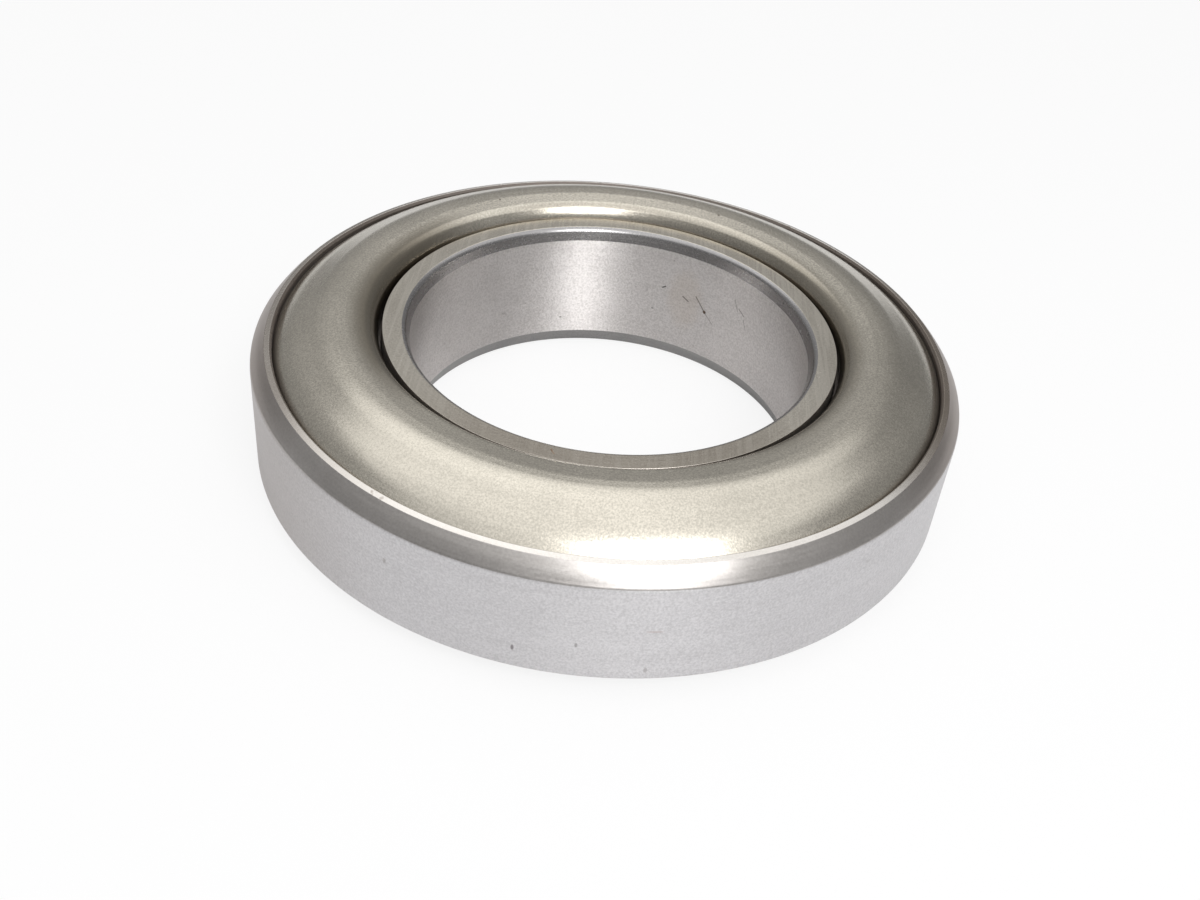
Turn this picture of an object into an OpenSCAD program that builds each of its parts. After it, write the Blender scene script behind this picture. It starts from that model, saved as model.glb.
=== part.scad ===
// Clutch release bearing: an angular-contact ball bearing with a domed dust cover
// The outer ring's contact face lies on the XY plane and the axis is Z. Lengths are in millimetres.

/* [Rings] */
// Bore that seats on the release sleeve
bore_d = 55; // [52:0.5:58]
// Outside diameter of the outer ring
outer_d = 97; // [94:0.5:101]
// Height of the outer ring's rim over the contact face
outer_w = 19.6; // [18.8:0.1:20.6]
// Height of the inner ring's end face over the contact face
neck_top = 20.65; // [20:0.05:21.5]
// Wall of the neck that stands up inside the cover
neck_wall = 3.65; // [3:0.05:4.2]
// How far the inner ring's foot stops short of the contact face
foot_recess = 0.3; // [0.2:0.1:1]

/* [Edges] */
// Radial width of the outer ring's upper chamfer
top_chamfer_w = 1.9; // [1.2:0.1:2.4]
// Height of the outer ring's upper chamfer
top_chamfer_h = 2.2; // [1.2:0.1:3]
// Chamfer between the outside and the contact face
face_chamfer = 3.2; // [1:0.1:4]
// Radial width of the rim between the upper chamfer and the cover
rim_w = 0.75; // [0.6:0.05:1.3]
// Fall of the rim towards the upper chamfer
rim_fall = 0.2; // [0.1:0.05:0.4]
// Radius between the outside and the upper chamfer
side_round = 1; // [0.2:0.1:1.2]
// Radial width of the bore's steep chamfer at the neck
neck_chamfer_w = 0.52; // [0.3:0.02:1]
// Height of the bore's steep chamfer at the neck
neck_chamfer_h = 1.58; // [0.5:0.02:3]
// Radial width of the bevel between that chamfer and the end face
neck_bevel_w = 0.53; // [0.2:0.01:0.8]
// Height of that bevel
neck_bevel_h = 0.27; // [0.1:0.01:0.5]
// Radial width of the bore's chamfer at the foot
foot_chamfer_w = 0.75; // [0.4:0.05:2]
// Height of the bore's chamfer at the foot
foot_chamfer_h = 2.1; // [0.5:0.05:3]
// Broken edge around the neck's end face
neck_break = 0.05; // [0.05:0.05:0.4]
// Broken edges of the foot, the flange and the shoulder
edge_break = 0.4; // [0.2:0.1:0.6]

/* [Balls and races] */
// Ball diameter
ball_d = 10.3; // [9.9:0.1:10.7]
// Number of balls
ball_count = 16; // [13:1:18]
// Slope of the line through both contacts of a ball, in degrees
contact_angle = 40; // [36:1:44]
// Race radius as a multiple of the ball's radius
race_ratio = 1.04; // [1.03:0.01:1.06]
// Air between a ball and each race on the contact line
race_clear = 0.03; // [0.02:0.01:0.06]
// Height of each low land over the deepest part of its race
race_snap = 0.12; // [0.06:0.02:0.2]
// Distance from the pitch circle to the edge of each loaded shoulder
shoulder_short = 1.8; // [1.4:0.1:2.4]
// Metal between the outer race and the contact face
race_floor = 4.2; // [4:0.1:4.8]
// Thickness of the flange that reaches in to the inner ring
flange_t = 3.6; // [2.8:0.1:3.8]
// Radial air between the flange and the inner ring
flange_air = 0.6; // [0.4:0.1:1]

/* [Cage] */
// Sheet thickness of the cage
cage_t = 1.2; // [0.9:0.1:1.4]
// Band left between the pockets and each edge of the cage
cage_rim = 1.2; // [0.8:0.1:1.4]
// Air between a ball and its pocket
pocket_clear = 0.2; // [0.1:0.05:0.3]

/* [Dust cover] */
// Sheet thickness of the cover
cover_t = 1; // [0.8:0.05:1.2]
// Air that lets the skirt into the outer ring
cover_fit = 0.02; // [0.01:0.01:0.05]
// Depth of the skirt's seat below the rim
seat_depth = 4.4; // [3.6:0.1:4.8]
// Radial width of the lead-in bevel around the cover
lead_w = 0.25; // [0.1:0.05:0.4]
// Depth of the lead-in bevel
lead_h = 0.4; // [0.3:0.05:1]
// Height of the crown over the rim, as a share of the cover's width from lip to skirt
crown_share = 0.2345; // [0.2:0.0005:0.27]
// How far below the rim the skirt turns in
skirt_drop = 1.04; // [0.8:0.02:1.3]
// Radial width of the steep band beside the rim, as a share of the cover's width
flare_share = 0.1665; // [0.15:0.0005:0.19]
// Slope of that band, in degrees
flare_angle = 40; // [36:1:44]
// Where the flank meets the crown, as a share of the cover's width from the lip
knee_share = 0.472; // [0.44:0.002:0.5]
// Where the crown starts to dip towards the lip, as a share of the cover's width
dish_share = 0.276; // [0.24:0.002:0.29]
// Slope of that dip, in degrees
dish_angle = 8; // [4:0.5:12]
// Radial width of the slope down to the lip
curl_in = 0.65; // [0.6:0.05:1.2]
// Slope down to the lip, in degrees
lip_angle = 58; // [52:1:62]
// Length of the straight part of the lip
lip_len = 2.3; // [1:0.1:2.8]
// Outside radius of the bend between skirt and steep band
flare_round = 1.25; // [1.2:0.05:1.6]
// Outside radius between steep band and flank
flank_round = 10; // [6:0.5:12]
// Outside radius between flank and crown, as a share of the cover's width
knee_bend = 0.53; // [0.4:0.01:0.55]
// Outside radius where the crown starts to dip
dish_round = 4; // [2:0.5:6]
// Outside radius of the bend at the crown's inner edge
curl_round = 1.25; // [1.2:0.05:1.6]
// Outside radius of the bend above the straight part of the lip
lip_round = 1.4; // [1.2:0.1:1.6]
// Radial air between the lip and the neck
lip_air = 1.2; // [0.8:0.05:1.4]
// Air between the lip and the inner ring's shoulder
shoulder_air = 1.2; // [0.8:0.1:1.6]

/* [Hidden] */
$fn = 128;
edge_step = 4;
bore_r = bore_d / 2;
outer_r = outer_d / 2;
ball_r = ball_d / 2;
race_r = ball_r * race_ratio;

// The balls run midway between the bore and the outside
pitch_r = (bore_r + outer_r) / 2;
contact_dir = [cos(contact_angle), -sin(contact_angle)];
race_shift = race_r - ball_r - race_clear;
ball_z = race_floor + race_r + race_shift * contact_dir[1];
ball_at = [pitch_r, ball_z];
inner_race = ball_at + race_shift * contact_dir;
outer_race = ball_at - race_shift * contact_dir;

neck_r = bore_r + neck_wall;
inner_land_r = inner_race[0] - race_r + race_snap;
outer_land_r = outer_race[0] + race_r - race_snap;
inner_shoulder_r = pitch_r - shoulder_short;
outer_shoulder_r = pitch_r + shoulder_short;
flange_r = inner_land_r + flange_air;

seat_z = outer_w - seat_depth;
rim_in_r = outer_r - top_chamfer_w - rim_w;
seat_r = rim_in_r - lead_w;
skirt_r = seat_r - cover_fit;
lip_r = neck_r + lip_air;
cover_w = skirt_r - lip_r;
crown_z = outer_w + crown_share * cover_w;

// Corners of the cover's outside, from the skirt over the crown to the lip
flare_at = [skirt_r, outer_w - skirt_drop];
flank_at = flare_at + flare_share * cover_w * [-1, tan(flare_angle)];
knee_at = [lip_r + knee_share * cover_w, crown_z];
dish_at = [lip_r + dish_share * cover_w, crown_z];
curl_r = lip_r + curl_in;
curl_at = [curl_r, crown_z - (dish_at[0] - curl_r) * tan(dish_angle)];
lip_at = [lip_r, curl_at[1] - curl_in * tan(lip_angle)];
lip_end = lip_at[1] - lip_len;
shoulder_top = lip_end - shoulder_air;
cover_out = [[skirt_r, seat_z], flare_at, flank_at, knee_at, dish_at, curl_at, lip_at, [lip_r, lip_end]];
cover_rounds = [flare_round, flank_round, knee_bend * cover_w, dish_round, curl_round, lip_round];

// Corner b of a line from a over b to c, moved in by the thickness t
function inset(a, b, c, t) =
    let (
        u = (b - a) / norm(b - a),
        v = (c - b) / norm(c - b),
        m = [-u[1], u[0]],
        n = [-v[1], v[0]]
    )
    b + t * (m + n) / (1 + m * n);

cover_in = concat(
    [[skirt_r - cover_t, seat_z]],
    [for (i = [1 : 6]) inset(cover_out[i - 1], cover_out[i], cover_out[i + 1], cover_t)],
    [[lip_r + cover_t, lip_end]]
);

// Corner b of a section, between a and c, rounded to radius r
function rounded(a, b, c, r) =
    let (
        u = (a - b) / norm(a - b),
        v = (c - b) / norm(c - b),
        half = acos(u * v) / 2,
        centre = b + (u + v) / norm(u + v) * r / sin(half),
        p = b + u * r / tan(half) - centre,
        q = b + v * r / tan(half) - centre,
        turn = atan2(p[0] * q[1] - p[1] * q[0], p * q),
        n = ceil(abs(turn) / edge_step)
    )
    [for (i = [0 : n]) let (t = atan2(p[1], p[0]) + turn * i / n) centre + r * [cos(t), sin(t)]];

pocket_r = ball_r + pocket_clear;
cage_half = pocket_r + cage_rim;
cage_dir = [sin(contact_angle), cos(contact_angle)];

function ball_name(i) = str("ball_", i < 10 ? "0" : "", i);
function ball_turn(i) = 360 / ball_count * (i - 1);

// Ring with the contact face below, the outer race inside and the cover's seat above
module outer_ring() {
    side_foot = [outer_r, face_chamfer];
    rim_out = [outer_r - top_chamfer_w, outer_w - rim_fall];
    side_top = [outer_r, rim_out[1] - top_chamfer_h];
    color([0.76, 0.75, 0.77])
    rotate_extrude()
    difference() {
        polygon(concat(
            [[flange_r + edge_break, 0], [outer_r - face_chamfer, 0], side_foot],
            rounded(side_foot, side_top, rim_out, side_round),
            [
                rim_out,
                [rim_in_r, outer_w],
                [seat_r, outer_w - lead_h],
                [seat_r, seat_z],
                [outer_land_r, seat_z],
                [outer_land_r, outer_race[1]],
                [outer_shoulder_r, outer_race[1]],
                [outer_shoulder_r, flange_t],
                [flange_r, flange_t],
                [flange_r, edge_break]
            ]
        ));
        translate(outer_race) circle(r = race_r);
    }
}

// Ring on the sleeve, with a thin neck above and a shoulder that presses the balls down and out
module inner_ring() {
    color([0.70, 0.68, 0.68])
    rotate_extrude()
    difference() {
        polygon([
            [bore_r + foot_chamfer_w, foot_recess],
            [inner_land_r - edge_break, foot_recess],
            [inner_land_r, foot_recess + edge_break],
            [inner_land_r, inner_race[1]],
            [inner_shoulder_r, inner_race[1]],
            [inner_shoulder_r, shoulder_top - edge_break],
            [inner_shoulder_r - edge_break, shoulder_top],
            [neck_r, shoulder_top],
            [neck_r, neck_top - neck_break],
            [neck_r - neck_break, neck_top],
            [bore_r + neck_chamfer_w + neck_bevel_w, neck_top],
            [bore_r + neck_chamfer_w, neck_top - neck_bevel_h],
            [bore_r, neck_top - neck_bevel_h - neck_chamfer_h],
            [bore_r, foot_recess + foot_chamfer_h]
        ]);
        translate(inner_race) circle(r = race_r);
    }
}

// Pressed sheet dome: a skirt in the outer ring, a crown over the balls and a lip beside the neck
module dust_cover() {
    color([0.66, 0.64, 0.60])
    rotate_extrude()
    polygon(concat(
        [cover_out[0]],
        [for (i = [1 : 6])
            each rounded(cover_out[i - 1], cover_out[i], cover_out[i + 1], cover_rounds[i - 1])],
        [cover_out[7], cover_in[7]],
        [for (i = [6 : -1 : 1])
            each rounded(cover_in[i + 1], cover_in[i], cover_in[i - 1], cover_rounds[i - 1] - cover_t)],
        [cover_in[0]]
    ));
}

// Cone of sheet square to the contact lines, with a round pocket for each ball
module ball_cage() {
    across = cage_t / 2 * contact_dir;
    along = cage_half * cage_dir;
    color([0.62, 0.58, 0.48])
    difference() {
        rotate_extrude()
        polygon([
            ball_at - along - across,
            ball_at - along + across,
            ball_at + along + across,
            ball_at + along - across
        ]);
        for (i = [1 : ball_count])
            at_ball(i)
            rotate([0, 90 + contact_angle, 0])
            cylinder(r = pocket_r, h = ball_d, center = true);
    }
}

module ball(i) {
    color([0.82, 0.82, 0.84])
    at_ball(i)
    sphere(r = ball_r);
}

// Moves its children to the centre of one ball
module at_ball(i) {
    rotate([0, 0, ball_turn(i)])
    translate([pitch_r, 0, ball_z])
    children();
}

outer_ring();
inner_ring();
dust_cover();
ball_cage();
for (i = [1 : ball_count])
    ball(i);
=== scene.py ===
import math
import bpy
import numpy as np
from mathutils import Matrix, Vector


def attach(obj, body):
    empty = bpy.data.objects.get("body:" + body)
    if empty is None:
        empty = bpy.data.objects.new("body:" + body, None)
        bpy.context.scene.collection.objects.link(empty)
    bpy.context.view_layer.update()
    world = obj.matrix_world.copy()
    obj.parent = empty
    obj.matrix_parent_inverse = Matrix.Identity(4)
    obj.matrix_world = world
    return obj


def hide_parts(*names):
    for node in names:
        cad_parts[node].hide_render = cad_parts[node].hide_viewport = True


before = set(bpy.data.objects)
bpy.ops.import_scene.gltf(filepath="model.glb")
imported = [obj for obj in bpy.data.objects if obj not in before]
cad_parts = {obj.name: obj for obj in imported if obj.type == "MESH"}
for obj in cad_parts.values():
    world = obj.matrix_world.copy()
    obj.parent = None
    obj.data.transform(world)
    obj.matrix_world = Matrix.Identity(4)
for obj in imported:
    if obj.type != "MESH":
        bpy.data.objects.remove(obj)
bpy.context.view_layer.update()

scene = bpy.context.scene
scene.view_settings.view_transform = "Standard"
mm = 0.001

# camera at the photograph's place: pitch down, a slight roll, no shift
camera = {
    "place": (0.000247, -0.153155, 0.117115), "pitch": 37.6, "roll": 6.16,
    "lens": 39.3, "sensor": 36.0, "near": 0.005, "far": 20.0,
}


def setCamera(c):
    pitch, roll = math.radians(c["pitch"]), math.radians(c["roll"])
    ahead = Vector((0, math.cos(pitch), -math.sin(pitch)))
    upright = Vector((0, math.sin(pitch), math.cos(pitch)))
    level = Vector((1, 0, 0))
    right = level * math.cos(roll) + upright * math.sin(roll)
    up = upright * math.cos(roll) - level * math.sin(roll)
    data = bpy.data.cameras.new("photoCamera")
    data.lens, data.sensor_width, data.sensor_fit = c["lens"], c["sensor"], "HORIZONTAL"
    data.clip_start, data.clip_end = c["near"], c["far"]
    data.dof.use_dof = False
    cam = bpy.data.objects.new("photoCamera", data)
    scene.collection.objects.link(cam)
    turn = Matrix((right, up, -ahead)).transposed().to_4x4()
    cam.matrix_world = Matrix.Translation(c["place"]) @ turn
    scene.camera = cam


setCamera(camera)
print("camera set")


# a socket that takes part in Python expressions; each operator adds one Math node
class Wire:
    def __init__(self, tree, socket=None):
        self.tree, self.socket = tree, socket

    # any node: its type, its settings, the values or links of its sockets, and which output to carry on with
    def add(self, kind, settings=None, sockets=None, out=0):
        node = self.tree.nodes.new(kind)
        for key, value in (settings or {}).items():
            setattr(node, key, value)
        for key, value in (sockets or {}).items():
            if isinstance(value, Wire):
                self.tree.links.new(value.socket, node.inputs[key])
            else:
                node.inputs[key].default_value = value
        return Wire(self.tree, node.outputs[out] if node.outputs else None)

    # another output of the same node
    def other(self, out): return Wire(self.tree, self.socket.node.outputs[out])

    def math(self, operation, first, second=0.0):
        return self.add("ShaderNodeMath", {"operation": operation}, {0: first, 1: second})

    def __add__(self, other): return self.math("ADD", self, other)
    def __radd__(self, other): return self.math("ADD", other, self)
    def __sub__(self, other): return self.math("SUBTRACT", self, other)
    def __rsub__(self, other): return self.math("SUBTRACT", other, self)
    def __mul__(self, other): return self.math("MULTIPLY", self, other)
    def __rmul__(self, other): return self.math("MULTIPLY", other, self)
    def __truediv__(self, other): return self.math("DIVIDE", self, other)
    def root(self): return self.math("SQRT", self)
    def size(self): return self.math("ABSOLUTE", self)
    def least(self, other): return self.math("MINIMUM", self, other)
    def most(self, other): return self.math("MAXIMUM", self, other)

    # 0 below low, 1 above high, an S curve between; low may be the larger
    def ease(self, low, high):
        sockets = {0: self, 1: low, 2: high, 3: 0.0, 4: 1.0}
        return self.add("ShaderNodeMapRange", {"interpolation_type": "SMOOTHSTEP"}, sockets)

    # the same with its ends in mm
    def easeMm(self, run): return self.ease(run[0] * mm, run[1] * mm)

    # blend of two colours
    def blend(self, share, first, second):
        sockets = {0: share, 6: opaque(first), 7: opaque(second)}
        return self.add("ShaderNodeMix", {"data_type": "RGBA"}, sockets, 2)


def opaque(colour):
    return colour if isinstance(colour, Wire) else (*colour, 1.0)


# how the marks' edges fall off
markEdge = {
    "ragged": 0.6, "outer": 1.15, "inner": 0.55,  # a spot: noise on its edge, and where it starts and is full
    "lumps": 3.0, "core": 0.4,  # lumps across a spot's least half size; the full part of a scratch's half width
}


# a material with the coordinates that every finish here needs
class Finish:
    def __init__(self, name):
        self.material = bpy.data.materials.new(name)
        self.material.use_nodes = True
        tree = self.material.node_tree
        tree.nodes.clear()
        self.start = Wire(tree)
        self.place = self.start.add("ShaderNodeTexCoord", out="Object")
        self.x = self.start.add("ShaderNodeSeparateXYZ", None, {0: self.place}, 0)
        self.y, self.z = self.x.other(1), self.x.other(2)
        self.r = (self.x * self.x + self.y * self.y).root()
        self.across, self.along = self.x / self.r, self.y / self.r  # cosine and sine of the angle round the axis

    def noise(self, scale, detail=2.0, rough=0.5, distort=0.0, vector=None):
        sockets = {
            "Vector": vector or self.place, "Scale": scale, "Detail": detail, "Roughness": rough, "Distortion": distort,
        }
        return self.start.add("ShaderNodeTexNoise", {"noise_dimensions": "3D"}, sockets)

    # lines that run round the axis: noise that changes fast with radius and height and slowly with the angle
    def rings(self, perMetre, turns, detail=2.0, shift=0.0):
        where = {0: self.r * perMetre + shift, 1: self.z * perMetre, 2: self.across * turns}
        vector = self.start.add("ShaderNodeCombineXYZ", None, where)
        sockets = {"Vector": vector, "W": self.along * turns, "Scale": 1.0, "Detail": detail, "Roughness": 0.6}
        return self.start.add("ShaderNodeTexNoise", {"noise_dimensions": "4D"}, sockets)

    # fine straight scratches along one direction in the XY plane
    def scratches(self, degrees, scale, stretch, low, high):
        turned = self.start.add("ShaderNodeMapping", None, {
            "Vector": self.place, "Rotation": (0, 0, math.radians(degrees)),
            "Scale": (scale, scale * stretch, scale * stretch),
        })
        return self.noise(1.0, detail=1.0, distort=0.3, vector=turned).ease(low, high)

    # 1 inside a ragged ellipsoid round a point, easing to 0 at its edge; half sizes along X, Y and Z
    def spot(self, centre, half):
        away = self.start.add("ShaderNodeVectorMath", {"operation": "SUBTRACT"}, {0: self.place, 1: centre})
        scaled = self.start.add("ShaderNodeVectorMath", {"operation": "DIVIDE"}, {0: away, 1: half})
        reach = self.start.add("ShaderNodeVectorMath", {"operation": "LENGTH"}, {0: scaled}, 1)
        reach = reach + (self.noise(markEdge["lumps"] / min(half)) - 0.5) * markEdge["ragged"]
        return reach.ease(markEdge["outer"], markEdge["inner"])

    # 1 along a thin straight scratch between two points, easing to 0 at half its width
    def scratch(self, first, last, half):
        run = [b - a for a, b in zip(first, last)]
        away = [axis - a for axis, a in zip((self.x, self.y, self.z), first)]
        share = (sum(v * d for v, d in zip(away, run)) / sum(d * d for d in run)).most(0.0).least(1.0)
        beside = [v - share * d for v, d in zip(away, run)]
        return sum(v * v for v in beside).root().ease(half, half * markEdge["core"])

    # a mark given in mm: a scratch where it has an end, otherwise a spot
    def mark(self, mark):
        at = [v * mm for v in mark["at"]]
        if "to" in mark:
            return self.scratch(at, [v * mm for v in mark["to"]], mark["half"] * mm) * mark["share"]
        return self.spot(at, [v * mm for v in mark["half"]]) * mark["share"]

    def mix(self, factor, first, second):
        return self.start.blend(factor, first, second)

    def bump(self, height, strength, distance):
        return self.start.add("ShaderNodeBump", None, {"Height": height, "Strength": strength, "Distance": distance})

    def finish(self, colour, rough, normal, fixed=None):
        sockets = {"Base Color": colour, "Roughness": rough, "Metallic": 1.0, "Normal": normal, **(fixed or {})}
        shader = self.start.add("ShaderNodeBsdfPrincipled", None, sockets)
        self.start.add("ShaderNodeOutputMaterial", None, {0: shader})
        return self.material


samePoint = 1e-5  # mm; points nearer than this are one


# closed section with rounded corners: at each corner the outward normal swings from the edge before to the edge after,
# and the point lies one radius from the corner's arc centre along it (towards the centre where the corner is hollow)
def roundedSection(corners, radii, tags, steps):
    corners, radii, tags = np.array(corners, float), np.array(radii, float)[:, None], np.array(tags)
    run = np.roll(corners, -1, 0) - corners
    run /= np.linalg.norm(run, axis=1, keepdims=True)
    after = np.stack([run[:, 1], -run[:, 0]], 1)
    before, runBefore = np.roll(after, 1, 0), np.roll(run, 1, 0)
    side = np.sign(runBefore[:, 0] * run[:, 1] - runBefore[:, 1] * run[:, 0])[:, None]
    centre = corners - side * radii * (before + after) / (1 + (before * after).sum(1, keepdims=True))
    t = np.linspace(0, 1, steps)[None, :, None]
    normals = (1 - t) * before[:, None] + t * after[:, None]
    normals /= np.linalg.norm(normals, axis=2, keepdims=True)
    points = centre[:, None] + (side * radii)[:, None] * normals
    firstHalf = np.arange(steps)[None] < (steps - 1) / 2
    marks = np.where(firstHalf, np.roll(tags, 1)[:, None], tags[:, None])
    points, normals, marks = points.reshape(-1, 2), normals.reshape(-1, 2), marks.reshape(-1)
    keep = np.linalg.norm(np.roll(points, -1, 0) - points, axis=1) > samePoint  # arcs that touch share one point
    return points[keep], normals[keep], marks[keep]


# turned piece: the section (radius, height, in mm) carried round the Z axis, with the section's own normals
def turnedPiece(name, section, finishes, around):
    points, normals, marks = section
    n = len(points)
    phi = np.linspace(0, 2 * math.pi, around, endpoint=False)
    c, s = np.cos(phi)[:, None], np.sin(phi)[:, None]

    def spread(p):
        heights = np.broadcast_to(p[:, 1], (around, n))
        return np.stack([c * p[:, 0], s * p[:, 0], heights], 2).reshape(-1, 3)

    i, j = np.meshgrid(np.arange(n), np.arange(around))
    here, after = j * n, (j + 1) % around * n
    nextPoint = (i + 1) % n
    faces = np.stack([i + here, i + after, nextPoint + after, nextPoint + here], 2).reshape(-1, 4)
    mesh = bpy.data.meshes.new(name)
    mesh.vertices.add(n * around)
    mesh.vertices.foreach_set("co", (spread(points) * mm).astype(np.float32).ravel())
    mesh.loops.add(faces.size)
    mesh.loops.foreach_set("vertex_index", faces.astype(np.int32).ravel())
    mesh.polygons.add(len(faces))
    mesh.polygons.foreach_set("loop_start", np.arange(0, faces.size, 4, dtype=np.int32))
    for material in finishes:
        mesh.materials.append(material)
    mesh.update(calc_edges=True)
    mesh.polygons.foreach_set("material_index", np.tile(marks, around).astype(np.int32))
    mesh.polygons.foreach_set("use_smooth", np.ones(len(faces), bool))
    mesh.normals_split_custom_set_from_vertices(spread(normals))
    mesh.update()
    piece = bpy.data.objects.new(name, mesh)
    scene.collection.objects.link(piece)
    return piece


raceSteps = 16  # points along each race
ringSteps = 6  # points round each rounded corner of a ring


# angle at the race's centre between the radial direction and the point where its circle meets a given radius
def raceAngle(d, edge):
    return math.degrees(math.acos(abs(edge - d["race"][0]) / d["raceR"]))


# points on part of a race's circle, for the hidden side of a ring
def raceArc(d, start, end):
    t = np.radians(np.linspace(start, end, raceSteps))
    points = np.stack([d["race"][0] + d["raceR"] * np.cos(t), d["race"][1] + d["raceR"] * np.sin(t)], 1)
    return [tuple(p) for p in points]


# what all ring finishes share: noise scales per metre, how much each pattern moves the roughness, the bump's depth
ringGrain = {
    "turns": 5.0, "broadShare": 0.16, "broadTurns": 2.0, "broadShift": 7.0, "broadBump": 0.5,
    "cloud": 70.0, "grain": 3200.0, "speck": 900.0, "speckRun": (0.70, 0.78),
    "roughLine": 0.10, "roughCloud": 0.10, "roughGrain": 0.12, "roughSpeck": 0.15, "roughMark": 0.15, "roughMost": 0.9,
    "coarse": 0.8, "markDepth": 0.6, "depth": 0.00004, "lay": 0.25,  # lay turns the anisotropy along the lines
}
crossHatch = {
    "scale": 1700.0, "stretch": 0.035, "turn": 78, "first": (0.52, 0.66), "second": (0.54, 0.68),
    "share": 0.6, "bump": 1.4,
}
sideShade = {"wobble": 0.1, "run": (0.72, 1.0)}  # painted shade at both sides, with a wavy edge
# darker towards one part of the turn: painted shade on the ground side's left and the end face's front; on the rim,
# brown dirt deepened by painted shade at left and right
partStainAndShade = {"left": ("across", -0.40, -0.95), "right": ("across", 0.72, 1.0), "front": ("along", -0.45, -0.95)}
# grime in recesses with painted shade: less at the front, patchy, rougher
grimeAndShadeLook = {"front": (-0.30, -0.86), "frontLess": 0.9, "run": (0.22, 0.42), "rough": 0.2}


# ground or turned steel: lines round the axis in bump, roughness and colour, fine mottling, soft blotches and marks;
# where a finish asks, cross-hatching, painted shade by side, and grime with painted shade
def ringSteel(name, f):
    m = Finish(name)
    g = ringGrain
    fine = m.rings(f["lines"], g["turns"], detail=3.0)
    broad = m.rings(f["lines"] * g["broadShare"], g["broadTurns"], detail=2.0, shift=g["broadShift"])
    cloud = m.noise(g["cloud"], detail=3.0, rough=0.6)
    grain = m.noise(g["grain"], detail=3.0, rough=0.68)
    speck = m.noise(g["speck"], detail=2.0, rough=0.6).ease(*g["speckRun"])
    shade = (fine - 0.5) * f["lineShade"] + (broad - 0.5) * f["bandShade"]
    shade = shade + (cloud - 0.5) * f["cloudShade"] + (grain - 0.5) * f["grain"] + 0.5
    colour = m.mix(shade.ease(0.0, 1.0), f["dark"], f["light"])
    colour = m.mix(speck * f["specks"], colour, f["stainAndShade"])
    rough = f["rough"] + (fine - 0.5) * g["roughLine"] + (cloud - 0.5) * g["roughCloud"]
    rough = rough + (grain - 0.5) * g["roughGrain"] + speck * g["roughSpeck"]
    height = fine + broad * g["broadBump"] + grain * f.get("coarse", g["coarse"])
    for mark in f.get("marks", []):
        here = m.mark(mark)
        colour = m.mix(here, colour, mark["colour"])
        rough = rough + here * mark.get("rough", g["roughMark"])
        height = height - here * g["markDepth"]
    if "cross" in f:
        h = crossHatch
        hatch = m.scratches(f["cross"], h["scale"], h["stretch"], *h["first"])
        hatch = hatch.most(m.scratches(f["cross"] + h["turn"], h["scale"], h["stretch"], *h["second"]))
        colour = m.mix(hatch * h["share"], colour, f["light"])
        height = height + hatch * h["bump"]
    # painted shade: darker at the left and right sides
    if "sides" in f:
        shadeAtSides = (m.across.size() + (cloud - 0.5) * sideShade["wobble"]).ease(*sideShade["run"])
        colour = m.mix(shadeAtSides * f["sides"], colour, f["stainAndShade"])
    # painted shade towards one part of the turn; on the rim also brown dirt
    for part, (way, low, high) in partStainAndShade.items():
        if part in f:
            run = m.across if way == "across" else m.along
            colour = m.mix(run.ease(low, high) * f[part], colour, f["stainAndShade"])
    # grime with painted shade of the recess, less at the front
    if "grimeAndShade" in f:
        front = m.along.ease(*grimeAndShadeLook["front"])
        dirtAndShade = (1.0 - front * grimeAndShadeLook["frontLess"]) * (grain * 0.5 + cloud * 0.5).ease(*grimeAndShadeLook["run"])
        colour = m.mix(dirtAndShade * f["grimeAndShade"], colour, f["stainAndShade"])
        rough = rough + dirtAndShade * grimeAndShadeLook["rough"]
    normal = m.bump(height, f["bump"], g["depth"])
    fixed = {"Anisotropic": f["aniso"], "Anisotropic Rotation": g["lay"]}
    return m.finish(colour, rough.least(g["roughMost"]), normal, fixed)


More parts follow.
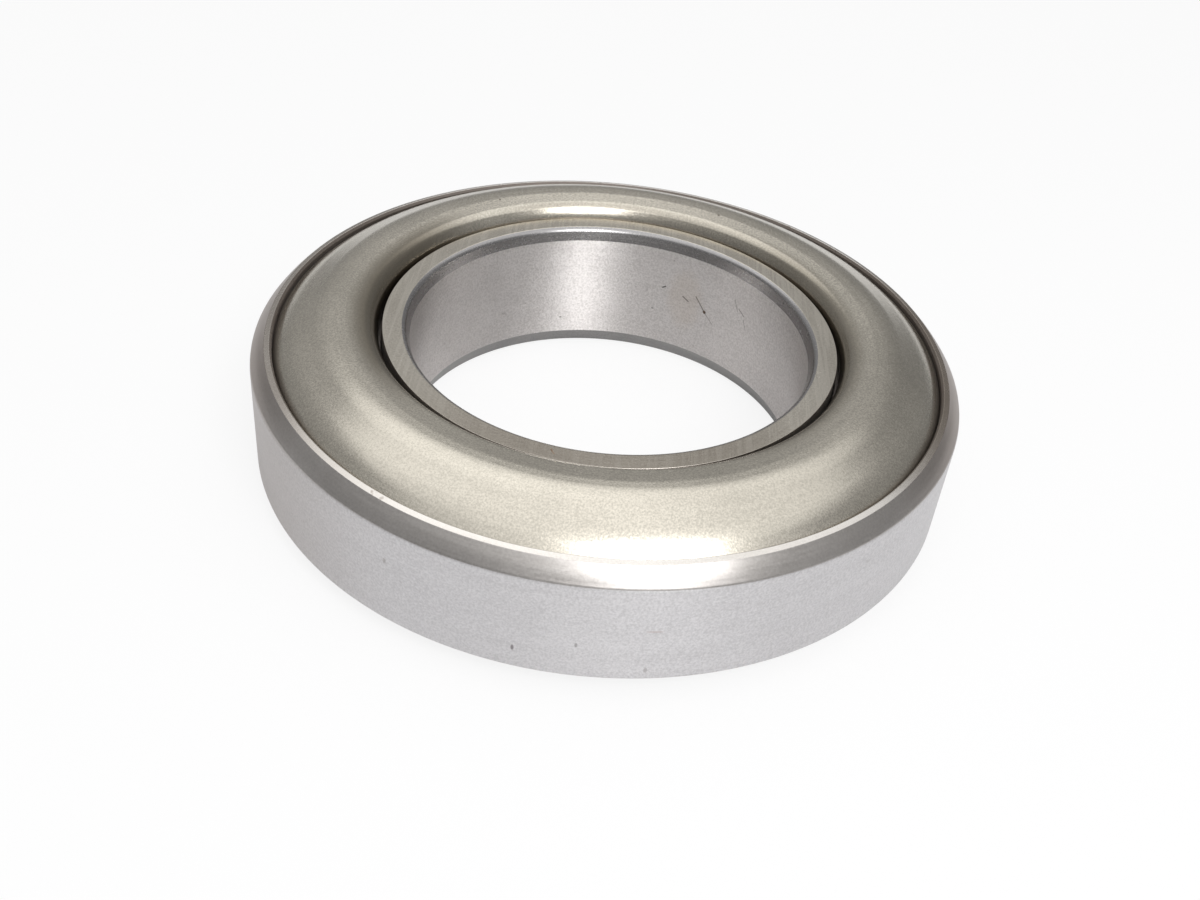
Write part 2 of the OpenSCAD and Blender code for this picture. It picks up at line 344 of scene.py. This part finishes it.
# outer ring: ground side, darker turned chamfers, a narrow sloped rim and the gap around the cover
outerRing = {
    "faceR": 45.3, "sideR": 48.5, "chamferFoot": 3.2, "chamferTop": 17.2, "chamferMid": (47.614, 18.356),
    "rimOut": (46.6, 19.4), "rimIn": (45.85, 19.6), "leadFoot": 19.2, "seatR": 45.6, "seat": 15.2, "land": 43.101,
    "shoulder": 39.8, "flangeTop": 3.6, "flangeR": 33.499, "race": (37.8652, 9.5560), "raceR": 5.3560, "break": 0.4,
    "rounds": [0.2, 0.44, 0.35, 1.0, 11.0, 0.2, 0.15, 0.1], "hiddenRound": 0.15, "around": 384,
    "side": {
        "lines": 5200.0, "lineShade": 0.35, "bandShade": 0.3, "cloudShade": 0.4, "grain": 1.9,
        "dark": (0.54, 0.529, 0.535), "light": (0.735, 0.723, 0.730), "stainAndShade": (0.30, 0.25, 0.21), "specks": 0.12,
        # left: painted shade, darker towards the left
        "rough": 0.38, "bump": 0.10, "aniso": 0.75, "left": 0.45,
        "marks": [
            {"at": (-7.4, -47.93, 6.2), "half": (0.22, 0.4, 0.5), "share": 0.75, "colour": (0.22, 0.19, 0.20)},
            {"at": (-0.1, -48.5, 8.2), "half": (0.2, 0.4, 0.4), "share": 0.6, "colour": (0.26, 0.24, 0.24)},
            {"at": (8.65, -47.7, 10.9), "half": (1.2, 0.5, 0.16), "share": 0.3, "colour": (0.36, 0.22, 0.19)},
            {"at": (8.2, -47.8, 4.6), "half": (0.25, 0.4, 0.5), "share": 0.5, "colour": (0.30, 0.27, 0.27)},
            {"at": (-23.2, -42.6, 12.6), "half": (0.25, 0.3, 0.45), "share": 0.4, "colour": (0.30, 0.26, 0.24)},
        ],
    },
    "chamfer": {
        "lines": 4200.0, "lineShade": 0.4, "bandShade": 0.4, "cloudShade": 0.6, "grain": 0.9,
        "dark": (0.46, 0.437, 0.418), "light": (0.64, 0.612, 0.592), "stainAndShade": (0.26, 0.21, 0.18), "specks": 0.2,
        # sides: painted shade, darker at the left and right
        "rough": 0.34, "bump": 0.12, "aniso": 0.3, "sides": 0.7,
    },
    "rim": {
        "lines": 5200.0, "lineShade": 0.4, "bandShade": 0.4, "cloudShade": 0.5, "grain": 0.7,
        "dark": (0.70, 0.665, 0.625), "light": (0.91, 0.885, 0.85), "stainAndShade": (0.26, 0.19, 0.13), "specks": 0.25,
        # left and right: brown dirt by the groove, deepened by painted shade
        "rough": 0.26, "bump": 0.10, "aniso": 0.3, "left": 0.4, "right": 0.7,
    },
    "groove": {
        "lines": 3000.0, "lineShade": 0.5, "bandShade": 0.5, "cloudShade": 0.8, "grain": 1.0,
        "dark": (0.34, 0.31, 0.28), "light": (0.56, 0.53, 0.50), "stainAndShade": (0.08, 0.055, 0.045), "specks": 0.5,
        # grime: grime in the groove with painted shade of the recess, less at the front
        "rough": 0.45, "bump": 0.3, "aniso": 0.0, "grimeAndShade": 0.6,
    },
}


def makeOuterRing(d):
    arc = raceArc(d, raceAngle(d, d["land"]), -raceAngle(d, d["shoulder"]))
    corners = [
        (d["flangeR"] + d["break"], 0), (d["faceR"], 0), (d["sideR"], d["chamferFoot"]), (d["sideR"], d["chamferTop"]),
        d["chamferMid"], d["rimOut"], d["rimIn"], (d["seatR"], d["leadFoot"]), (d["seatR"], d["seat"]),
        (d["land"], d["seat"]), *arc,
        (d["shoulder"], d["flangeTop"]), (d["flangeR"], d["flangeTop"]), (d["flangeR"], d["break"]),
    ]
    side, chamfer, rim, groove = range(4)  # the finish of the edge after each corner
    tags = [side, chamfer, side, chamfer, chamfer, rim, groove, groove]
    hidden = len(corners) - len(tags)
    tags = tags + [side] * hidden
    radii = d["rounds"] + [d["hiddenRound"]] * hidden
    finishes = [
        ringSteel("outerSideSteel", d["side"]), ringSteel("outerChamferSteel", d["chamfer"]),
        ringSteel("outerRimSteel", d["rim"]), ringSteel("coverGroove", d["groove"]),
    ]
    piece = turnedPiece("outerRing", roundedSection(corners, radii, tags, ringSteps), finishes, d["around"])
    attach(piece, "outer")
    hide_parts("outer_ring")


makeOuterRing(outerRing)
print("outer ring made")


# inner ring: ground bore between two darker chamfers, a flat end face, and the shoulder over the balls
innerRing = {
    "boreR": 27.5, "foot": 0.3, "footChamfer": (0.75, 2.1), "neckChamfer": (0.52, 1.58), "neckBevel": (0.53, 0.27),
    "neckR": 31.15, "top": 20.65, "neckBreak": 0.05, "land": 32.899, "shoulder": 36.2, "shoulderTop": 17.7404,
    "break": 0.4, "race": (38.1348, 9.3297), "raceR": 5.3560, "raceRound": 0.15, "around": 360,
    "footRounds": [0.15, 0.12, 0.12], "rounds": [0.12, 0.12, 0.35, 0.05, 0.05, 0.6, 0.9, 0.3, 0.3],
    "bore": {
        "lines": 4600.0, "lineShade": 0.4, "bandShade": 0.3, "cloudShade": 0.7, "grain": 2.5,
        "dark": (0.60, 0.572, 0.555), "light": (0.82, 0.79, 0.775), "stainAndShade": (0.20, 0.17, 0.16), "specks": 0.3,
        "rough": 0.42, "bump": 0.34, "aniso": 1.0, "coarse": 2.6,
        "marks": [
            {"at": (7.3, 26.51, 12.25), "to": (7.75, 26.38, 12.55), "half": 0.16, "share": 0.9,
             "colour": (0.08, 0.075, 0.07)},
            {"at": (10.6, 25.38, 11.65), "to": (11.5, 24.98, 11.1), "half": 0.13, "share": 0.85,
             "colour": (0.10, 0.09, 0.085)},
            {"at": (12.6, 24.44, 12.4), "to": (14.2, 23.55, 10.2), "half": 0.13, "share": 0.8,
             "colour": (0.12, 0.10, 0.085)},
            {"at": (14.2, 23.55, 10.2), "to": (15.5, 22.72, 8.8), "half": 0.10, "share": 0.5,
             "colour": (0.20, 0.17, 0.15)},
            {"at": (14.15, 23.58, 10.3), "half": (0.3, 0.4, 0.34), "share": 0.85, "colour": (0.16, 0.10, 0.065)},
            {"at": (6.1, 26.8, 8.1), "half": (0.22, 0.4, 0.12), "share": 0.7, "colour": (0.14, 0.13, 0.12)},
            {"at": (18.3, 20.53, 14.9), "to": (18.9, 19.98, 13.2), "half": 0.11, "share": 0.5,
             "colour": (0.18, 0.16, 0.15)},
            {"at": (19.1, 19.79, 13.7), "to": (19.9, 18.98, 13.0), "half": 0.13, "share": 0.6,
             "colour": (0.18, 0.15, 0.13)},
            {"at": (19.9, 18.98, 12.4), "to": (20.4, 18.44, 10.9), "half": 0.10, "share": 0.5,
             "colour": (0.18, 0.16, 0.15)},
            {"at": (11.0, 25.2, 11.2), "half": (3.4, 2.4, 5.5), "share": 0.16, "colour": (0.60, 0.47, 0.33),
             "rough": 0.0},  # faint brown tint
            {"at": (-21.0, 17.8, 8.0), "half": (10.0, 10.0, 10.0), "share": 0.2, "colour": (0.36, 0.34, 0.33),
             "rough": 0.0},  # darker at the left
            {"at": (-8.4, 26.18, 5.0), "half": (0.25, 0.4, 0.14), "share": 0.7, "colour": (0.14, 0.13, 0.12)},
        ],
    },
    "chamfer": {
        "lines": 4000.0, "lineShade": 0.5, "bandShade": 0.4, "cloudShade": 0.5, "grain": 0.7,
        "dark": (0.33, 0.322, 0.325), "light": (0.48, 0.472, 0.475), "stainAndShade": (0.15, 0.13, 0.12), "specks": 0.25,
        "rough": 0.26, "bump": 0.12, "aniso": 0.3,
    },
    "face": {
        "lines": 5200.0, "lineShade": 0.3, "bandShade": 0.25, "cloudShade": 0.6, "grain": 1.2,
        "dark": (0.55, 0.51, 0.443), "light": (0.765, 0.724, 0.645), "stainAndShade": (0.24, 0.19, 0.15), "specks": 0.25,
        # front: painted shade, darker towards the front
        "rough": 0.21, "bump": 0.14, "aniso": 0.2, "cross": 28.0, "front": 0.4,
        "marks": [
            {"at": (-5.62, -28.73, 20.65), "to": (-5.2, -29.6, 20.65), "half": 0.16, "share": 0.8,
             "colour": (0.30, 0.15, 0.07)},
        ],
    },
    "inside": {
        "lines": 4600.0, "lineShade": 0.5, "bandShade": 0.4, "cloudShade": 0.8, "grain": 0.9,
        "dark": (0.24, 0.225, 0.21), "light": (0.42, 0.40, 0.38), "stainAndShade": (0.08, 0.06, 0.045), "specks": 0.4,
        "rough": 0.36, "bump": 0.12, "aniso": 0.3,
    },
    # painted shade: the lower bore chamfer's dark colour stands in for the shaded floor under the ring that it mirrors
    "footSteel": {
        "lines": 3600.0, "lineShade": 0.5, "bandShade": 0.4, "cloudShade": 0.6, "grain": 0.9,
        "dark": (0.24, 0.234, 0.23), "light": (0.36, 0.353, 0.348), "stainAndShade": (0.14, 0.12, 0.11), "specks": 0.3,
        "rough": 0.36, "bump": 0.14, "aniso": 0.3,
    },
    # deep in the gap under the cover's lip: grease, and a dark base colour that is painted shade
    "gap": {
        "lines": 4600.0, "lineShade": 0.5, "bandShade": 0.4, "cloudShade": 0.8, "grain": 0.9,
        "dark": (0.16, 0.145, 0.133), "light": (0.32, 0.29, 0.268), "stainAndShade": (0.03, 0.022, 0.018), "specks": 0.5,
        "rough": 0.45, "bump": 0.12, "aniso": 0.0,
    },
    "neck": {
        "lines": 4600.0, "lineShade": 0.5, "bandShade": 0.4, "cloudShade": 0.8, "grain": 0.9,
        "dark": (0.36, 0.33, 0.30), "light": (0.56, 0.52, 0.48), "stainAndShade": (0.08, 0.06, 0.045), "specks": 0.4,
        "rough": 0.40, "bump": 0.12, "aniso": 0.3,
    },
}


def makeInnerRing(d):
    arc = raceArc(d, 180 + raceAngle(d, d["land"]), 180 - raceAngle(d, d["shoulder"]))
    footWide, footHigh = d["footChamfer"]
    neckWide, neckHigh = d["neckChamfer"]
    bevelWide, bevelHigh = d["neckBevel"]
    edge, neckEdge, mouth = d["break"], d["neckBreak"], d["boreR"] + neckWide
    corners = [
        (d["boreR"] + footWide, d["foot"]), (d["land"] - edge, d["foot"]), (d["land"], d["foot"] + edge), *arc,
        (d["shoulder"], d["shoulderTop"] - edge), (d["shoulder"] - edge, d["shoulderTop"]),
        (d["neckR"], d["shoulderTop"]), (d["neckR"], d["top"] - neckEdge), (d["neckR"] - neckEdge, d["top"]),
        (mouth + bevelWide, d["top"]), (mouth, d["top"] - bevelHigh), (d["boreR"], d["top"] - bevelHigh - neckHigh),
        (d["boreR"], d["foot"] + footHigh),
    ]
    bore, chamfer, face, inside, foot, gap, neck = range(7)  # the finish of the edge after each corner
    tags = [inside] * (len(d["footRounds"]) + len(arc)) + [gap, gap, neck, neck, face, chamfer, chamfer, bore, foot]
    radii = d["footRounds"] + [d["raceRound"]] * len(arc) + d["rounds"]
    finishes = [
        ringSteel("boreSteel", d["bore"]), ringSteel("boreChamferSteel", d["chamfer"]),
        ringSteel("endFaceSteel", d["face"]), ringSteel("neckSteel", d["inside"]),
        ringSteel("boreFootSteel", d["footSteel"]), ringSteel("gapSteel", d["gap"]),
        ringSteel("neckWallSteel", d["neck"]),
    ]
    piece = turnedPiece("innerRing", roundedSection(corners, radii, tags, ringSteps), finishes, d["around"])
    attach(piece, "inner")
    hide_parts("inner_ring")


makeInnerRing(innerRing)
print("inner ring made")


# dust cover: pressed sheet, warm matt grey, with a fine grain, painted shade on the lip's inner slope and deep in the
# lip, and dirt with painted shade low beside the rim
dustCover = {
    "foot": (45.58, 15.2), "lipEnd": (31.7, 18.9404), "sheet": 1.0, "steps": 12, "around": 384,
    "outside": [
        (45.5800, 18.5600), (43.3772, 20.4083), (38.5946, 22.7024), (36.0015, 22.7024),
        (33.4, 22.345), (32.7, 21.92), (32.1, 21.0), (31.7, 19.9),
    ],
    "rounds": [1.25, 10.0, 7.0119, 4.0, 1.6, 1.6, 4.0, 1.5], "footRound": 0.2, "lipRound": 0.3,
    # film colour: the specks, and painted shade on the lip's inner slope; dark brown colour: dirt with painted shade
    # beside the rim, and painted shade deep in the lip
    "dark": (0.53, 0.50, 0.435), "light": (0.76, 0.715, 0.625), "dirtAndShade": (0.055, 0.036, 0.03),
    "film": (0.24, 0.21, 0.165), "rough": 0.23, "aniso": 0.15, "bump": 0.22,
    "grain": 4000.0, "cloud": 60.0, "draw": 2600.0, "speck": 700.0, "speckRun": (0.72, 0.80),
    "nicks": [(20.0, 420.0, 0.08, 0.72, 0.80), (-52.0, 380.0, 0.06, 0.73, 0.81)],  # direction, scale, stretch, run
    "grainShade": 2.2, "cloudShade": 0.7, "drawShade": 0.3, "nickShare": 0.3, "speckShare": 0.25,
    "roughGrain": 0.14, "roughCloud": 0.10, "roughDirt": 0.25, "roughSpeck": 0.1, "drawBump": 0.5, "nickBump": 1.2,
    "lipShade": [  # painted shade on the lip's inner slope, at the right, the back and the left: radii in mm between which it sets in, part of the turn, share
        {"radii": (35.2, 32.9), "way": "across", "run": (0.35, 0.85), "share": 0.6},
        {"radii": (34.0, 32.9), "way": "along", "run": (0.75, 0.95), "share": 0.3},
        {"radii": (36.4, 33.4), "way": "across", "run": (-0.6, -0.92), "share": 0.85},
    ],
    # painted shade low on the lip, deep in the gap by the neck
    "deepLipShade": {"heights": (20.5, 19.8), "radii": (33.1, 32.5), "share": 0.55},
    # dirt with painted shade low beside the rim, less at the front
    "lowDirtAndShade": {"heights": (19.6, 18.9), "radii": (44.3, 45.1), "wobble": 0.8, "share": 0.7},
    "marks": [
        {"at": (14.74, 32.56, 22.2), "half": (0.26, 0.26, 0.8), "share": 0.8, "colour": (0.14, 0.10, 0.07)},
        {"at": (-19.29, 29.94, 22.4), "half": (0.24, 0.24, 0.8), "share": 0.7, "colour": (0.16, 0.12, 0.09)},
        {"at": (-26.6, 26.0, 22.3), "to": (-27.9, 25.6, 22.3), "half": 0.11, "share": 0.5,
         "colour": (0.20, 0.17, 0.14)},
    ],
}


# pressed steel: fine matt grain, faint draw lines, small scratches, dirt with painted shade low beside the rim, and
# painted shade on the lip's inner slope and deep in the lip
def sheetSteel(name, d):
    m = Finish(name)
    grain = m.noise(d["grain"], detail=3.0, rough=0.68)
    cloud = m.noise(d["cloud"], detail=3.0, rough=0.6)
    draw = m.rings(d["draw"], turns=4.0)
    oneWay, otherWay = d["nicks"]
    nicks = m.scratches(*oneWay).most(m.scratches(*otherWay))
    speck = m.noise(d["speck"], detail=2.0, rough=0.6).ease(*d["speckRun"])
    shade = (grain - 0.5) * d["grainShade"] + (cloud - 0.5) * d["cloudShade"] + (draw - 0.5) * d["drawShade"] + 0.5
    colour = m.mix(shade.ease(0.0, 1.0), d["dark"], d["light"])
    colour = m.mix(nicks * d["nickShare"], colour, d["light"])
    colour = m.mix(speck * d["speckShare"], colour, d["film"])
    for mark in d["marks"]:
        colour = m.mix(m.mark(mark), colour, mark["colour"])
    # painted shade on the lip's inner slope, strongest at the left
    lip = 0.0
    for film in d["lipShade"]:
        way = m.across if film["way"] == "across" else m.along
        lip = m.r.easeMm(film["radii"]) * way.ease(*film["run"]) * film["share"] + lip
    colour = m.mix(lip, colour, d["film"])
    # painted shade low on the lip, deep in the gap
    deep = d["deepLipShade"]
    inLip = m.z.easeMm(deep["heights"]) * m.r.easeMm(deep["radii"])
    colour = m.mix(inLip * deep["share"], colour, d["dirtAndShade"])
    low = d["lowDirtAndShade"]
    aside = 1.0 - m.along.ease(*grimeAndShadeLook["front"]) * grimeAndShadeLook["frontLess"]  # less dirt and painted shade at the front
    wavy = m.z + (cloud - 0.5) * (low["wobble"] * mm)
    dirtAndShade = wavy.easeMm(low["heights"]) * m.r.easeMm(low["radii"]) * aside
    colour = m.mix(dirtAndShade * low["share"], colour, d["dirtAndShade"])
    rough = d["rough"] + (grain - 0.5) * d["roughGrain"] + (cloud - 0.5) * d["roughCloud"]
    rough = rough + dirtAndShade * d["roughDirt"] + speck * d["roughSpeck"]
    normal = m.bump(grain + draw * d["drawBump"] - nicks * d["nickBump"], d["bump"], ringGrain["depth"])
    fixed = {"Anisotropic": d["aniso"], "Anisotropic Rotation": ringGrain["lay"]}
    return m.finish(colour, rough.least(ringGrain["roughMost"]), normal, fixed)


# the sheet's inside: each corner moves in by the thickness, along the mean of the normals of its two edges
def insetCorners(line, thick):
    line = np.array(line, float)
    run = np.diff(line, axis=0)
    run /= np.linalg.norm(run, axis=1, keepdims=True)
    inward = np.stack([-run[:, 1], run[:, 0]], 1)
    first, second = inward[:-1], inward[1:]
    return line[1:-1] + thick * (first + second) / (1 + (first * second).sum(1, keepdims=True))


def makeDustCover(d):
    line, t = [d["foot"], *d["outside"], d["lipEnd"]], d["sheet"]
    inside = [tuple(p) for p in insetCorners(line, t)]
    corners = line + [(d["lipEnd"][0] + t, d["lipEnd"][1]), *inside[::-1], (d["foot"][0] - t, d["foot"][1])]
    lip = [d["lipRound"]] * 2
    radii = [d["footRound"], *d["rounds"], *lip, *[r - t for r in d["rounds"][::-1]], d["footRound"]]
    section = roundedSection(corners, radii, [0] * len(corners), d["steps"])
    piece = turnedPiece("dustCover", section, [sheetSteel("coverSteel", d)], d["around"])
    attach(piece, "outer")
    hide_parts("dust_cover")


makeDustCover(dustCover)
print("dust cover made")


# balls and cage keep their CAD shapes: polished steel with faint hairlines, oiled sheet with grease
ballSteel = {
    "dark": (0.70, 0.70, 0.72), "light": (0.84, 0.84, 0.86), "rough": 0.07, "roughHair": 0.08, "roughCloud": 0.06,
    "cloud": 300.0, "hairTurns": (17.0, -48.0), "hair": (2600.0, 0.05, 0.66, 0.76), "bump": 0.05, "depth": 0.00002,
}
cageSteel = {
    "dark": (0.40, 0.35, 0.25), "light": (0.62, 0.57, 0.46), "grease": (0.22, 0.14, 0.05), "greaseShare": 0.6,
    "cloud": 160.0, "grain": 3000.0, "film": 90.0, "filmRun": (0.48, 0.66), "filmBump": 0.8,
    "rough": 0.34, "filmSmooth": 0.14, "roughGrain": 0.15, "bump": 0.2, "depth": 0.00005,
}


def polishedSteel(name, d):
    m = Finish(name)
    cloud = m.noise(d["cloud"], detail=3.0, rough=0.6)
    oneWay, otherWay = d["hairTurns"]
    hair = m.scratches(oneWay, *d["hair"]).most(m.scratches(otherWay, *d["hair"]))
    colour = m.mix(cloud, d["dark"], d["light"])
    rough = d["rough"] + hair * d["roughHair"] + (cloud - 0.5) * d["roughCloud"]
    return m.finish(colour, rough, m.bump(hair, d["bump"], d["depth"]))


def oiledSheet(name, d):
    m = Finish(name)
    cloud = m.noise(d["cloud"], detail=4.0, rough=0.6)
    grain = m.noise(d["grain"], detail=2.0, rough=0.6)
    film = m.noise(d["film"], detail=3.0, rough=0.55).ease(*d["filmRun"])
    colour = m.mix(film * d["greaseShare"], m.mix(cloud, d["dark"], d["light"]), d["grease"])
    rough = d["rough"] - film * d["filmSmooth"] + (grain - 0.5) * d["roughGrain"]
    return m.finish(colour, rough, m.bump(grain + film * d["filmBump"], d["bump"], d["depth"]))


def dressNode(name, material):
    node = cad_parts[name]
    node.data.materials.clear()
    node.data.materials.append(material)


polished = polishedSteel("ballSteel", ballSteel)
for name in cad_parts:
    if name.startswith("ball_") and name != "ball_cage":
        dressNode(name, polished)
dressNode("ball_cage", oiledSheet("cageSheet", cageSteel))
print("balls and cage finished")


# plain pale floor under the ring; part of its white comes from the ray type, the rest takes the shadow
floor = {"half": 1.2, "cells": 24, "colour": (0.80, 0.80, 0.81), "plain": 0.85, "mirrored": 0.15}


def makeFloor(d):
    cells, row = d["cells"], d["cells"] + 1
    u = np.linspace(-d["half"], d["half"], row)
    x, y = np.meshgrid(u, u)
    points = np.stack([x, y, np.zeros_like(x)], 2).reshape(-1, 3)
    i, j = np.meshgrid(np.arange(cells), np.arange(cells))
    a = (i + j * row).ravel()
    mesh = bpy.data.meshes.new("floor")
    mesh.from_pydata(points.tolist(), [], np.stack([a, a + 1, a + row + 1, a + row], 1).tolist())
    m = Finish("floorPaper")
    rays = m.start.add("ShaderNodeLightPath", out="Is Camera Ray")
    mirrored = rays.other("Is Glossy Ray").most(rays.other("Is Transmission Ray"))
    seen = (rays * d["plain"]).most(mirrored * d["mirrored"])
    paper = m.start.add("ShaderNodeBsdfDiffuse", None, {0: opaque(d["colour"])})
    glow = m.start.add("ShaderNodeEmission", None, {0: (1, 1, 1, 1), 1: 1.0})
    shader = m.start.add("ShaderNodeMixShader", None, {0: seen, 1: paper, 2: glow})
    m.start.add("ShaderNodeOutputMaterial", None, {0: shader})
    mesh.materials.append(m.material)
    piece = bpy.data.objects.new("floor", mesh)
    scene.collection.objects.link(piece)


makeFloor(floor)

# soft studio light: a bright ceiling over a dimmer room, and a box beside the camera with a wide, weak one behind it
lampAim = (0, -0.02, 0.01)
lamps = [
    {"name": "aroundKey", "at": (0.121, -0.293, 0.332), "size": (0.27, 0.24), "watts": 0.42},
    {"name": "byCamera", "at": (0.118, -0.286, 0.322), "size": (0.125, 0.17), "watts": 0.62},
]
room = {
    "low": (0.20, 0.199, 0.198), "wall": (0.38, 0.378, 0.375), "wallFoot": -0.05, "wallRise": 0.65,
    "edge": (0.90, 0.897, 0.89), "top": (1.22, 1.215, 1.205), "ceilingFoot": 0.66, "ceilingRise": 0.26,
    "cornice": (0.645, 0.705),  # heights between which the wall turns into the ceiling
    "corner": (0.453, 0.785, 0.42), "cornerRun": (0.93, 0.995), "dim": 0.15,  # a darker patch behind on the right
    "frontBack": 0.08, "diagonal": 0.24, "behind": 0.14, "all": 0.98, "soften": 0.05,  # light by compass
}


def makeLight(lamp):
    data = bpy.data.lights.new(lamp["name"], "AREA")
    data.shape, data.energy = "RECTANGLE", lamp["watts"]
    data.size, data.size_y = lamp["size"]
    light = bpy.data.objects.new(lamp["name"], data)
    place = Vector(lamp["at"])
    turn = (Vector(lampAim) - place).to_track_quat("-Z", "Y").to_matrix().to_4x4()
    light.matrix_world = Matrix.Translation(place) @ turn
    scene.collection.objects.link(light)


def makeRoom(d):
    world = bpy.data.worlds.new("room")
    scene.world = world
    world.use_nodes = True
    world.node_tree.nodes.clear()
    start = Wire(world.node_tree)
    way = start.add("ShaderNodeTexCoord", out="Generated")
    right = start.add("ShaderNodeSeparateXYZ", None, {0: way}, 0)
    back, up = right.other(1), right.other(2)
    wall = start.blend((up - d["wallFoot"]) / d["wallRise"], d["low"], d["wall"])
    toRight, toBack, toTop = d["corner"]
    corner = (right * toRight + back * toBack + up * toTop).ease(*d["cornerRun"])
    wall = start.blend(corner * d["dim"], wall, (0, 0, 0))
    ceiling = start.blend((up - d["ceilingFoot"]) / d["ceilingRise"], d["edge"], d["top"])
    colour = start.blend(up.ease(*d["cornice"]), wall, ceiling)
    level = right * right + back * back + d["soften"]
    compass = (back * back - right * right) / level * d["frontBack"] - right * back / level * d["diagonal"]
    compass = compass + back.most(0.0) * d["behind"] + d["all"]
    colour = start.add("ShaderNodeVectorMath", {"operation": "SCALE"}, {0: colour, 3: compass})
    shader = start.add("ShaderNodeBackground", None, {0: colour, 1: 1.0})
    start.add("ShaderNodeOutputWorld", None, {0: shader})


for lamp in lamps:
    makeLight(lamp)
makeRoom(room)
print("floor and light made")
